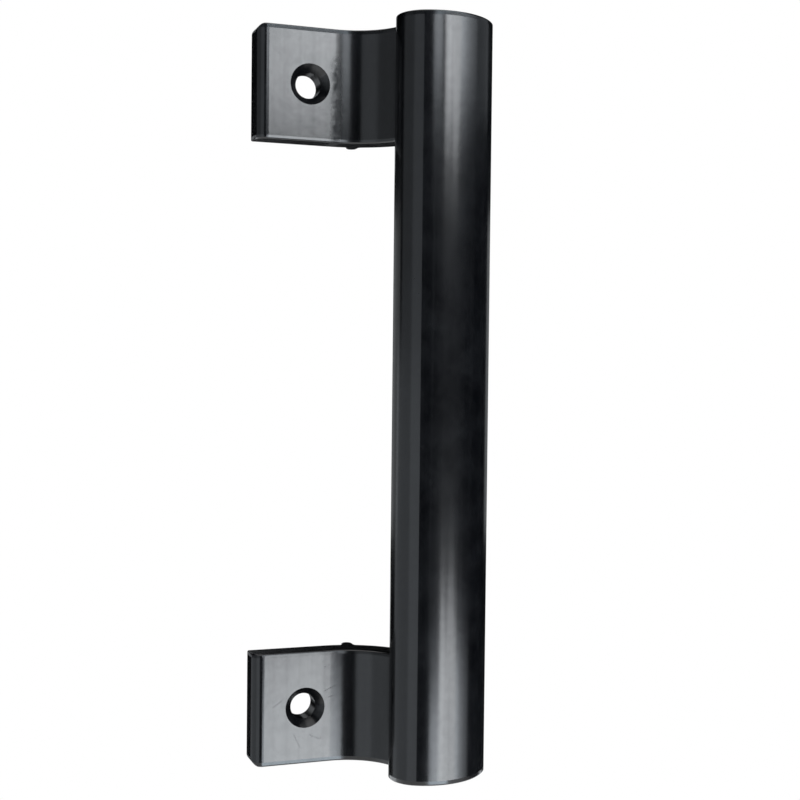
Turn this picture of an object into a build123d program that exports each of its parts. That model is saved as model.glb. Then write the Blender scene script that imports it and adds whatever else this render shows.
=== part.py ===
from build123d import *
from math import radians, tan
import os

# Pull handle of a sliding patio door: one aluminium extrusion, sawn to length, with its
# flange and web milled away between two mounting tabs.
# X runs across the door from the tabs to the grip, -Y is out of the door towards the hand
# and +Z is up. The origin is midway between the screw holes, on the face that meets the door.

# Mounting tabs
hole_pitch = 168.3
tab_height = 30.5            # of each tab, with its screw hole at the middle
tab_flat = 21.6              # from the free edge to the start of the web's bend
hole_inset = 14.6            # from the free edge to the line of the holes
wall = 7.0                   # thickness of the tabs and the web
free_edge_radius = 3.2       # front corner that runs down the free edge
back_edge_radius = 0.5       # back corner that runs down the free edge
corner_radius = 2.5          # outer corners of the tabs, seen from the front
hole_diameter = 7.0
countersink_diameter = 11.0
countersink_angle = 82

# Rib on the back that lies against the edge of the door's stile
rib_offset = 5.7             # from the start of the web's bend
rib_width = 3.0
rib_height = 2.5             # past the face that meets the door
root_radius = 1.0            # at the foot of the rib

# Web and oval grip
bend_radius = 16.0           # inside of the bend
bend_angle = 105             # to the web's end, which lies inside the oval
grip_width = 27.8            # long axis of the oval
grip_thickness = 20.4        # short axis of the oval
tip_radius = 8.0             # of the oval's two tight ends
grip_tilt = 16.0             # the oval's far side turns towards the door by this angle
grip_reach = 4.5             # from the middle of the web at a quarter turn to the oval's centre
grip_rise = 2.9              # the same, out of the door
junction_radius = 3.0        # where the web runs into the oval

end_break = 0.4              # small round on the rims of the sawn and milled ends

# Places that follow from the sizes
length = hole_pitch + tab_height
free_edge = -hole_inset
bend_start = free_edge + tab_flat
bend_centre = Vector(bend_start, -wall - bend_radius)
grip_centre = bend_centre + Vector(bend_radius + wall / 2 + grip_reach, -grip_rise)
hole_heights = (-hole_pitch / 2, hole_pitch / 2)


def strap_section():
    """The flange and the web, which bends forward past a quarter turn and ends inside the oval."""
    edge_centre = Vector(free_edge + free_edge_radius, free_edge_radius - wall)
    outside = CenterArc(bend_centre, bend_radius + wall, 90, -bend_angle)
    inside = CenterArc(bend_centre, bend_radius, 90 - bend_angle, bend_angle)
    strap = make_face([
        Line((free_edge, edge_centre.Y), (free_edge, 0)),
        Line((free_edge, 0), outside @ 0),
        outside,
        Line(outside @ 1, inside @ 0),
        inside,
        Line(inside @ 1, (edge_centre.X, -wall)),
        CenterArc(edge_centre, free_edge_radius, -90, -90),
    ])
    back_corner = strap.vertices().sort_by_distance((free_edge, 0))[0]
    return fillet(back_corner, back_edge_radius)


def rib_section():
    """A small rib with a round crest, rooted in the middle of the wall."""
    root = -wall / 2
    middle = bend_start + rib_offset + rib_width / 2
    crest = rib_height - rib_width / 2
    stem = Pos(middle, (root + crest) / 2) * Rectangle(rib_width, crest - root)
    return stem + Pos(middle, crest) * Circle(rib_width / 2)


def oval_section():
    """An oval of four tangent arcs: a lens between two large circles, with its tips rounded."""
    half_width, half_thickness = grip_width / 2, grip_thickness / 2
    side_radius = (((half_width - tip_radius) ** 2 + half_thickness**2 - tip_radius**2)
                   / (2 * (half_thickness - tip_radius)))
    offset = side_radius - half_thickness
    lens = Pos(0, -offset) * Circle(side_radius) & Pos(0, offset) * Circle(side_radius)
    oval = fillet(lens.vertices(), tip_radius)
    return Pos(grip_centre.X, grip_centre.Y) * Rot(0, 0, grip_tilt) * oval


def blend(first, second, radius):
    """Two sections made one, with a fillet in each corner where their outlines cross."""
    section = first + second
    before = [Vector(*v) for v in first.vertices() + second.vertices()]
    crossings = section.vertices().filter_by(
        lambda v: all((Vector(*v) - old).length > 0.001 for old in before))
    return fillet(crossings, radius)


def sawn_length(section, height, middle):
    """A length of the section with the rims of its two cut ends rounded."""
    bar = Pos(0, 0, middle - height / 2) * extrude(section, height)
    layers = bar.edges().group_by(Axis.Z)
    return fillet(layers[0] + layers[-1], end_break)


def front_outline():
    """The handle's outline seen from the front, with the outer corners of its tabs rounded."""
    far_side = grip_centre.X + grip_width
    blank = Pos((free_edge + far_side) / 2, 0) * Rectangle(far_side - free_edge, length)
    corners = blank.vertices().filter_by(lambda v: v.X < bend_start)
    past_profile = wall + bend_radius + grip_rise + grip_width
    return extrude(Plane.XZ * fillet(corners, corner_radius), past_profile, both=True)


def screw_hole(height):
    face = Plane((0, -wall, height), x_dir=(1, 0, 0), z_dir=(0, -1, 0))
    from_face = (Align.CENTER, Align.CENTER, Align.MAX)
    depth = (countersink_diameter - hole_diameter) / 2 / tan(radians(countersink_angle / 2))
    shank = Cylinder(hole_diameter / 2, 2 * wall, align=from_face)
    sink = Cone(hole_diameter / 2, countersink_diameter / 2, depth, align=from_face)
    return face * (shank + sink)


oval = oval_section()
profile = blend(blend(strap_section(), oval, junction_radius), rib_section(), root_radius)
outline = front_outline()
handle = sawn_length(oval, length, 0)
for height in hole_heights:
    handle += sawn_length(profile, tab_height, height) & outline
for height in hole_heights:
    handle -= screw_hole(height)

os.makedirs("parts", exist_ok=True)
export_step(handle, "parts/pull_handle.step")
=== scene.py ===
from math import cos, pi, radians, sin
import bpy
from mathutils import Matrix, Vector


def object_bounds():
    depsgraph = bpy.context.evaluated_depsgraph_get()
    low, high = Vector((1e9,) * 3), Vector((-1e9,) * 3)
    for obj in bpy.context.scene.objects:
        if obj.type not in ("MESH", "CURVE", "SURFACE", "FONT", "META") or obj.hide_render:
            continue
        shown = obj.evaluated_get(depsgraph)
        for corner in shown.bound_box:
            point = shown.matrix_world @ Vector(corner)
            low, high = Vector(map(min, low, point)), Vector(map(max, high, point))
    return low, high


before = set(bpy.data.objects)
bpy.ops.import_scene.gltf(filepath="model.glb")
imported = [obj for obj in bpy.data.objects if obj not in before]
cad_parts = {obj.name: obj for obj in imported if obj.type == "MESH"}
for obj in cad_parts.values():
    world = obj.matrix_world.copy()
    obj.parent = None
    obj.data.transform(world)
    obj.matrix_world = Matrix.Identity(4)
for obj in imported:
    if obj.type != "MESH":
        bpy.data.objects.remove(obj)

cadLow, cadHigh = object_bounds()
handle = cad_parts["pull_handle"]
scene = bpy.context.scene
mm = 0.001        # lengths are in metres, as Object coordinates are
level = 90        # degrees that turn a camera or a lamp from looking down to looking level


def deselectAll():
    for thing in list(bpy.context.selected_objects):
        thing.select_set(False)


deselectAll()


# camera, fitted to the edges of the handle in the photograph

cameraSetup = {
    "place": (-0.0995, -0.3545, 0.00875),
    "turnRight": 19.65,   # degrees, from looking straight at the door
    "tiltUp": -1.71,
    "roll": 0.60,
    "lens": 60.2,         # mm, as the sensor's width is
    "sensorWidth": 36,
    "shift": (0.0081, 0.0080),
}


def addCamera(setup):
    data = bpy.data.cameras.new("camera")
    data.lens = setup["lens"]
    data.sensor_width = setup["sensorWidth"]
    data.shift_x, data.shift_y = setup["shift"]
    camera = bpy.data.objects.new("camera", data)
    scene.collection.objects.link(camera)
    camera.location = setup["place"]
    camera.rotation_euler = (radians(level + setup["tiltUp"]), 0, radians(-setup["turnRight"]))
    camera.rotation_euler.rotate_axis("Z", radians(setup["roll"]))
    scene.camera = camera


addCamera(cameraSetup)
print("camera set")


# node trees: a Wire is one socket, with arithmetic that adds Math nodes

class Wire:
    def __init__(self, shader, socket):
        self.shader = shader
        self.socket = socket

    def __add__(self, other):
        return self.shader.math("ADD", self, other)

    def __sub__(self, other):
        return self.shader.math("SUBTRACT", self, other)

    def __mul__(self, other):
        return self.shader.math("MULTIPLY", self, other)

    def __rsub__(self, other):
        return self.shader.math("SUBTRACT", other, self)

    __radd__ = __add__
    __rmul__ = __mul__

    def rise(self, low, high):
        # 0 below low, 1 above high and smooth between; the other way round where low is higher
        return self.shader.node("ShaderNodeMapRange", {"interpolation_type": "SMOOTHSTEP"},
                                {"Value": self, "From Min": low, "From Max": high})


class Shader:
    def __init__(self, owner):
        owner.use_nodes = True
        self.tree = owner.node_tree
        self.tree.nodes.clear()

    def node(self, kind, settings=None, inputs=None, output=0):
        made = self.tree.nodes.new(kind)
        for name, value in (settings or {}).items():
            setattr(made, name, value)
        for name, value in (inputs or {}).items():
            if isinstance(value, Wire):
                self.tree.links.new(value.socket, made.inputs[name])
            else:
                made.inputs[name].default_value = value
        return Wire(self, made.outputs[output]) if made.outputs else None

    def math(self, operation, *values):
        return self.node("ShaderNodeMath", {"operation": operation}, dict(enumerate(values)))


# sizes of the handle that the finish follows

handleSizes = {
    "halfLength": cadHigh.z,
    "holeHeight": 84.15 * mm,
    "tabHalf": 15.25 * mm,
    "tabFront": -7.0 * mm,
    "sinkRadius": 5.5 * mm,
    "gripMiddle": (31.0 * mm, -25.9 * mm),
    "gripRadius": 13.95 * mm,
    "halvesBlend": 10 * mm,               # each side of the middle, between the upper and lower half
    "maskEdge": 0.1 * mm,                 # width of the blend round the grip and the holes
    "frontEdge": (0.3 * mm, 0.1 * mm),    # behind the tab's front, where its scratches end
}

# black finish on the extrusion

finishLook = {
    "black": (0.0020, 0.0022, 0.0030, 1),
    "film": (0.0060, 0.0064, 0.0076, 1),   # dust and grease that handling leaves
    "filmShows": (0.3, 0.8),               # where the smudges turn black into film
    "ior": 1.70,                           # oxide layer of black anodised aluminium
    "roughness": 0.18,
    "filmRoughness": 0.56,
}

# noise in the finish: a scale of three numbers draws it out along the axes where they are small;
# height: of its relief; worn: range of the noise over which it dulls; dulls, roughens: by how much
noiseMiddle = 0.5
patterns = {
    "dieLines": {"scale": (1100, 1100, 5), "detail": 3.0, "height": 0.0022 * mm,
                 "worn": (0.50, 0.75), "dulls": 0.06, "roughens": 0.05},
    "dieBands": {"scale": (260, 260, 3), "detail": 3.0, "height": 0.012 * mm,
                 "worn": (0.45, 0.65), "dulls": 0.05},
    "peel": {"scale": 330, "detail": 2.0, "height": 0.014 * mm},
    "grain": {"scale": 3200, "detail": 2.0, "height": 0.0007 * mm, "roughens": 0.03},
    "smudges": {"scale": 120, "detail": 5.0, "worn": (0.42, 0.72), "dulls": 0.04, "roughens": 0.03},
    "specks": {"scale": 1500, "detail": 1.0, "worn": (0.73, 0.78), "dulls": 0.20},
    "blotches": {"scale": 520, "detail": 3.0, "worn": (0.38, 0.66), "dulls": 0.07},
    "cutMarks": {"scale": (90, 2600, 90), "detail": 3.0, "height": 0.006 * mm},
    "mottle": {"scale": 900, "detail": 3.0, "worn": (0.30, 0.62)},
}

# ends that were sawn or milled; edge: distances from the end where their finish begins and is full
cutEnds = {"edge": (0.12 * mm, 0.04 * mm), "dulls": 0.12, "roughens": 0.05}
outerRims = {"width": 1.2 * mm, "slope": 0.13}
innerRims = {"width": 1.0 * mm, "slope": 0.30}

drillRings = {"spacing": 0.35 * mm, "height": 0.0015 * mm, "roughens": 0.05}

# dull streaks that the die left beside the bend; fade: from nothing to full, up from the hole's middle
upperStreak = {"across": 7.2 * mm, "halfWidth": 1.4 * mm, "strength": 0.95, "fade": (11 * mm, 3 * mm)}
lowerStreak = {"across": 6.0 * mm, "halfWidth": 1.2 * mm, "strength": 0.20, "fade": (-14 * mm, 8 * mm)}
mottleShare = 0.55        # of the upper streak's strength

# fine scratches round the lower hole, each from and to a place across and up from its middle
scratchLook = {
    "width": 0.26 * mm,
    "core": 0.052 * mm,
    "fadeIn": 0.6 * mm,
    "fadeOut": 0.8 * mm,
    "height": 0.004 * mm,
    "dulls": 0.22,
}
scratches = [
    {"from": (5.1 * mm, 4.0 * mm), "to": (8.9 * mm, 6.0 * mm)},
    {"from": (6.2 * mm, 2.3 * mm), "to": (8.4 * mm, 3.2 * mm)},
    {"from": (-9.3 * mm, 0.6 * mm), "to": (-6.2 * mm, 2.6 * mm)},
    {"from": (-3.4 * mm, -6.6 * mm), "to": (-1.2 * mm, -11.2 * mm)},
    {"from": (1.0 * mm, -7.4 * mm), "to": (4.6 * mm, -9.0 * mm)},
]


def noise(shader, place, setup):
    scale = setup["scale"]
    if isinstance(scale, tuple):
        place = shader.node("ShaderNodeMapping", None, {"Vector": place, "Scale": scale})
        scale = 1.0
    inputs = {"Vector": place, "Scale": scale, "Detail": setup["detail"]}
    return shader.node("ShaderNodeTexNoise", None, inputs)


def length(shader, across, up):
    return shader.math("SQRT", across * across + up * up)


def scratchMask(shader, across, up, look):
    # 1 on the scratches, seen from the front
    mask = 0
    for scratch in scratches:
        startX, startZ = scratch["from"]
        endX, endZ = scratch["to"]
        reach = ((endX - startX) ** 2 + (endZ - startZ) ** 2) ** 0.5
        runX, runZ = (endX - startX) / reach, (endZ - startZ) / reach
        along = (across - startX) * runX + (up - startZ) * runZ
        aside = shader.math("ABSOLUTE", (up - startZ) * runX - (across - startX) * runZ)
        line = aside.rise(look["width"], look["core"])
        line = line * along.rise(0, look["fadeIn"]) * along.rise(reach, reach - look["fadeOut"])
        mask = shader.math("MAXIMUM", mask, line)
    return mask


def streak(shader, across, up, setup):
    # strongest in the middle of a streak that runs up the tab, fading to both sides
    offset = (across - setup["across"]) * (1 / setup["halfWidth"])
    return setup["strength"] * shader.math("EXPONENT", 0 - offset * offset) * up.rise(*setup["fade"])


def rimFall(shader, distance, setup):
    # how far the surface falls away towards a cut end, from the distance to that end
    return setup["slope"] * shader.math("MAXIMUM", setup["width"] - distance, 0)


def blackFinish(look, sizes):
    material = bpy.data.materials.new("blackFinish")
    shader = Shader(material)
    place = shader.node("ShaderNodeTexCoord", None, None, "Object")
    x, y, z = (shader.node("ShaderNodeSeparateXYZ", None, {"Vector": place}, axis) for axis in "XYZ")
    height = shader.math("ABSOLUTE", z)
    lower = z.rise(sizes["halvesBlend"], -sizes["halvesBlend"])
    fields = {name: noise(shader, place, setup) for name, setup in patterns.items()}

    # ends that were sawn or milled, which are duller and have the tool's marks across them
    gripX, gripY = sizes["gripMiddle"]
    fromGrip = length(shader, x - gripX, y - gripY)
    besideGrip = fromGrip.rise(sizes["gripRadius"], sizes["gripRadius"] + sizes["maskEdge"])
    fromOuterEnd = sizes["halfLength"] - height
    fromInnerEnd = height - (sizes["holeHeight"] - sizes["tabHalf"])
    sawn = fromOuterEnd.rise(*cutEnds["edge"])
    milled = fromInnerEnd.rise(*cutEnds["edge"]) * besideGrip
    cut = shader.math("MAXIMUM", sawn, milled)
    falls = (rimFall(shader, fromOuterEnd, outerRims)
             + rimFall(shader, fromInnerEnd, innerRims) * besideGrip)

    # countersinks and bores, with rings from the drill
    aboveHole = height - sizes["holeHeight"]
    fromHole = length(shader, x, aboveHole)
    inHole = fromHole.rise(sizes["sinkRadius"], sizes["sinkRadius"] - sizes["maskEdge"])
    rings = shader.math("SINE", fromHole * (2 * pi / drillRings["spacing"]))

    # dull streaks beside the bend, and scratches on the front of the lower tab
    aboveLowerHole = z + sizes["holeHeight"]
    mottle = fields["mottle"].rise(*patterns["mottle"]["worn"])
    mottled = (1 - mottleShare) + mottleShare * mottle
    streaks = (streak(shader, x, aboveHole, upperStreak) * (1 - lower) * mottled
               + streak(shader, x, aboveLowerHole, lowerStreak) * lower) * (1 - inHole) * besideGrip
    frontFrom, frontTo = sizes["frontEdge"]
    lowerFront = y.rise(sizes["tabFront"] + frontFrom, sizes["tabFront"] + frontTo) * lower
    scratched = scratchMask(shader, x, aboveLowerHole, scratchLook) * lowerFront

    relief = patterns["cutMarks"]["height"] * fields["cutMarks"] * cut
    for name in ("dieLines", "dieBands", "peel", "grain"):
        relief = relief + patterns[name]["height"] * fields[name]
    relief = (relief + drillRings["height"] * rings * inHole
              - falls - scratchLook["height"] * scratched)
    normal = shader.node("ShaderNodeBump", None, {"Height": relief, "Distance": 1.0, "Strength": 1.0})

    roughness = look["roughness"] + cutEnds["roughens"] * cut + drillRings["roughens"] * inHole
    for name in ("dieLines", "smudges", "grain"):
        roughness = roughness + patterns[name]["roughens"] * (fields[name] - noiseMiddle)

    worn = streaks + scratchLook["dulls"] * scratched + cutEnds["dulls"] * cut
    for name in ("smudges", "dieLines", "dieBands", "blotches", "specks"):
        worn = worn + patterns[name]["dulls"] * fields[name].rise(*patterns[name]["worn"])

    filmed = fields["smudges"].rise(*look["filmShows"])
    colour = shader.node("ShaderNodeMix", {"data_type": "RGBA"},
                         {0: filmed, 6: look["black"], 7: look["film"]}, 2)
    clean = shader.node("ShaderNodeBsdfPrincipled", None, {
        "Base Color": colour,
        "IOR": look["ior"],
        "Roughness": roughness,
        "Normal": normal,
    })
    dulled = shader.node("ShaderNodeBsdfPrincipled", None, {
        "Base Color": look["film"],
        "Roughness": look["filmRoughness"],
        "Normal": normal,
    })
    surface = shader.node("ShaderNodeMixShader", None, {0: worn, 1: clean, 2: dulled})
    shader.node("ShaderNodeOutputMaterial", None, {"Surface": surface})
    return material


handle.material_slots[0].material = blackFinish(finishLook, handleSizes)
print("finish set")


# studio: soft boxes in a ring round the grip, black cloth outside them, pale floor and white world

ring = {"radius": 0.93, "middle": Vector((0.031, -0.026, 0))}
coolWhite = (0.925, 0.965, 1.0)
coolerWhite = (0.87, 0.935, 1.0)
paleBlue = (0.76, 0.89, 1.0)
tints = {
    "upperRight": coolerWhite, "upperEdge": coolerWhite, "upperLeft": coolerWhite, "upperHigh": paleBlue,
    "lowerRight": coolerWhite, "lowerLeft": coolerWhite, "lowerDeep": paleBlue,
    "sideUpper": coolerWhite, "sideLower": coolerWhite, "backUpper": coolerWhite, "backLower": coolerWhite,
}

# from and to: degrees round the grip, from straight in front towards the right; low and high: heights;
# a box of several strips goes from the first radiance to the last
softBoxes = {
    "upperTab": {"from": 9, "to": 18, "low": 0.235, "high": 0.54, "radiance": 7.1},
    "upperMain": {"from": 18, "to": 24, "low": 0.245, "high": 0.54, "radiance": 6.2},
    "upperTail": {"from": 24, "to": 34, "low": 0.220, "high": 0.54, "radiance": 5.9},
    "upperWide": {"from": 34, "to": 38, "low": 0.245, "high": 0.54, "radiance": 5.7},
    "upperRight": {"from": 38, "to": 74, "low": 0.265, "high": 0.54, "radiance": 5.2,
                   "last": 0.9, "strips": 7},
    "upperEdge": {"from": 74, "to": 112, "low": 0.238, "high": 0.54, "radiance": 0.3},
    "upperLeft": {"from": -12, "to": 3, "low": 0.280, "high": 0.54, "radiance": 3.7},
    "upperHigh": {"from": -8, "to": 60, "low": 0.56, "high": 1.60, "radiance": 2.6},
    "lowerTab": {"from": 10, "to": 18, "low": -0.53, "high": -0.222, "radiance": 7.2},
    "lowerMain": {"from": 18, "to": 24, "low": -0.53, "high": -0.240, "radiance": 5.9},
    "lowerTail": {"from": 24, "to": 36, "low": -0.53, "high": -0.214, "radiance": 5.7},
    "lowerWide": {"from": 36, "to": 42, "low": -0.53, "high": -0.245, "radiance": 5.6},
    "lowerRight": {"from": 42, "to": 70, "low": -0.53, "high": -0.265, "radiance": 4.7,
                   "last": 0.7, "strips": 6},
    "lowerLeft": {"from": -7, "to": 10, "low": -0.53, "high": -0.310, "radiance": 4.4,
                  "last": 5.6, "strips": 3},
    "lowerDeep": {"from": -7, "to": 30, "low": -0.78, "high": -0.56, "radiance": 5.5},
    "sideUpper": {"from": -66, "to": -34, "low": 0.02, "high": 0.54, "radiance": 0.48},
    "sideLower": {"from": -66, "to": -34, "low": -0.53, "high": 0.02, "radiance": 0.78},
    "backUpper": {"from": -110, "to": -66, "low": 0.02, "high": 0.54, "radiance": 0.26},
    "backLower": {"from": -135, "to": -66, "low": -0.53, "high": 0.02, "radiance": 0.52},
    "behindLowLeft": {"from": 116, "to": 147, "low": -0.78, "high": -0.44, "radiance": 1.8},
    "behindLowRight": {"from": 190, "to": 242, "low": -0.78, "high": -0.44, "radiance": 1.8, "strips": 2},
    "behindTabHigh": {"from": 169, "to": 184, "low": 0.19, "high": 0.42, "radiance": 0.5},
    "behindTabLow": {"from": 169, "to": 184, "low": -0.42, "high": -0.19, "radiance": 0.5},
    "behindLeft": {"from": 120, "to": 146, "low": -0.15, "high": 0.15, "radiance": 0.38},
    "behindRight": {"from": 180, "to": 238, "low": -0.15, "high": 0.15, "radiance": 0.4, "strips": 2},
}


def softBox(name, setup, start, end, radiance):
    middle = radians((start + end) / 2)
    halfAngle = radians((end - start) / 2)
    data = bpy.data.lights.new(name, "AREA")
    data.shape = "RECTANGLE"
    data.size = 2 * ring["radius"] * sin(halfAngle)
    data.size_y = setup["high"] - setup["low"]
    data.color = tints.get(name, coolWhite)
    data.energy = radiance * pi * data.size * data.size_y     # watts of a flat lamp
    lamp = bpy.data.objects.new(name, data)
    scene.collection.objects.link(lamp)
    distance = ring["radius"] * cos(halfAngle)
    lamp.location = ring["middle"] + Vector((distance * sin(middle), -distance * cos(middle), 0))
    lamp.location.z = (setup["high"] + setup["low"]) / 2
    lamp.rotation_euler = (radians(level), 0, middle)
    lamp.visible_camera = False


def softBoxRow(name, setup):
    # strips side by side, each a fixed share brighter or dimmer than the one before
    count = setup.get("strips", 1)
    first = setup["radiance"]
    last = setup.get("last", first)
    step = (setup["to"] - setup["from"]) / count
    for place in range(count):
        start = setup["from"] + place * step
        share = place / max(count - 1, 1)
        softBox(name, setup, start, start + step, first * (last / first) ** share)


for boxName, boxSetup in softBoxes.items():
    softBoxRow(boxName, boxSetup)
print("soft boxes set")

clothSetup = {
    "radius": 1.3,
    "sides": 144,
    "bottom": -0.75,
    "top": 1.9,
    "colour": (0.004, 0.004, 0.004, 1),
}


def clothMaterial(setup):
    material = bpy.data.materials.new("blackDrape")
    shader = Shader(material)
    surface = shader.node("ShaderNodeBsdfDiffuse", None, {"Color": setup["colour"]})
    shader.node("ShaderNodeOutputMaterial", None, {"Surface": surface})
    return material


def addCloth(setup):
    deselectAll()
    middle = (setup["top"] + setup["bottom"]) / 2
    bpy.ops.mesh.primitive_cylinder_add(vertices=setup["sides"], radius=setup["radius"],
                                        depth=setup["top"] - setup["bottom"],
                                        end_fill_type="NOTHING", location=(0, 0, middle))
    bpy.ops.object.transform_apply(location=True, rotation=False, scale=False)
    cloth = bpy.context.object
    cloth.name = "blackDrape"
    cloth.visible_camera = False
    cloth.data.materials.append(clothMaterial(setup))


addCloth(clothSetup)

plainWhite = (1, 1, 1, 1)


def seenRays(shader):
    # 1 for rays that show the background, straight or in metal or glass
    camera = shader.node("ShaderNodeLightPath", None, None, "Is Camera Ray")
    glossy = shader.node("ShaderNodeLightPath", None, None, "Is Glossy Ray")
    through = shader.node("ShaderNodeLightPath", None, None, "Is Transmission Ray")
    return shader.math("MAXIMUM", camera, shader.math("MAXIMUM", glossy, through))


floorSetup = {
    "height": -0.80,
    "radius": 1.6,
    "sides": 96,
    "pale": (0.86, 0.86, 0.86, 1),
    "white": 0.7,         # share of plain white; the rest takes light and shadow
}


def floorMaterial(setup):
    material = bpy.data.materials.new("floorPale")
    shader = Shader(material)
    lit = shader.node("ShaderNodeBsdfDiffuse", None, {"Color": setup["pale"]})
    white = shader.node("ShaderNodeEmission", None, {"Color": plainWhite, "Strength": 1.0})
    seen = setup["white"] * seenRays(shader)
    surface = shader.node("ShaderNodeMixShader", None, {0: seen, 1: lit, 2: white})
    shader.node("ShaderNodeOutputMaterial", None, {"Surface": surface})
    return material


def addFloor(setup):
    deselectAll()
    bpy.ops.mesh.primitive_circle_add(vertices=setup["sides"], radius=setup["radius"], fill_type="NGON",
                                      location=(0, 0, setup["height"]))
    floor = bpy.context.object
    floor.name = "floor"
    floor.data.materials.append(floorMaterial(setup))


addFloor(floorSetup)

worldSetup = {"dim": 0.4}        # strength for rays that only carry light; the seen background is 1


def setWorld(setup):
    world = bpy.data.worlds.new("studio")
    scene.world = world
    shader = Shader(world)
    strength = seenRays(shader) * (1 - setup["dim"]) + setup["dim"]
    white = shader.node("ShaderNodeBackground", None, {"Color": plainWhite, "Strength": strength})
    shader.node("ShaderNodeOutputWorld", None, {"Surface": white})


setWorld(worldSetup)
scene.view_settings.view_transform = "Standard"
print("studio set")
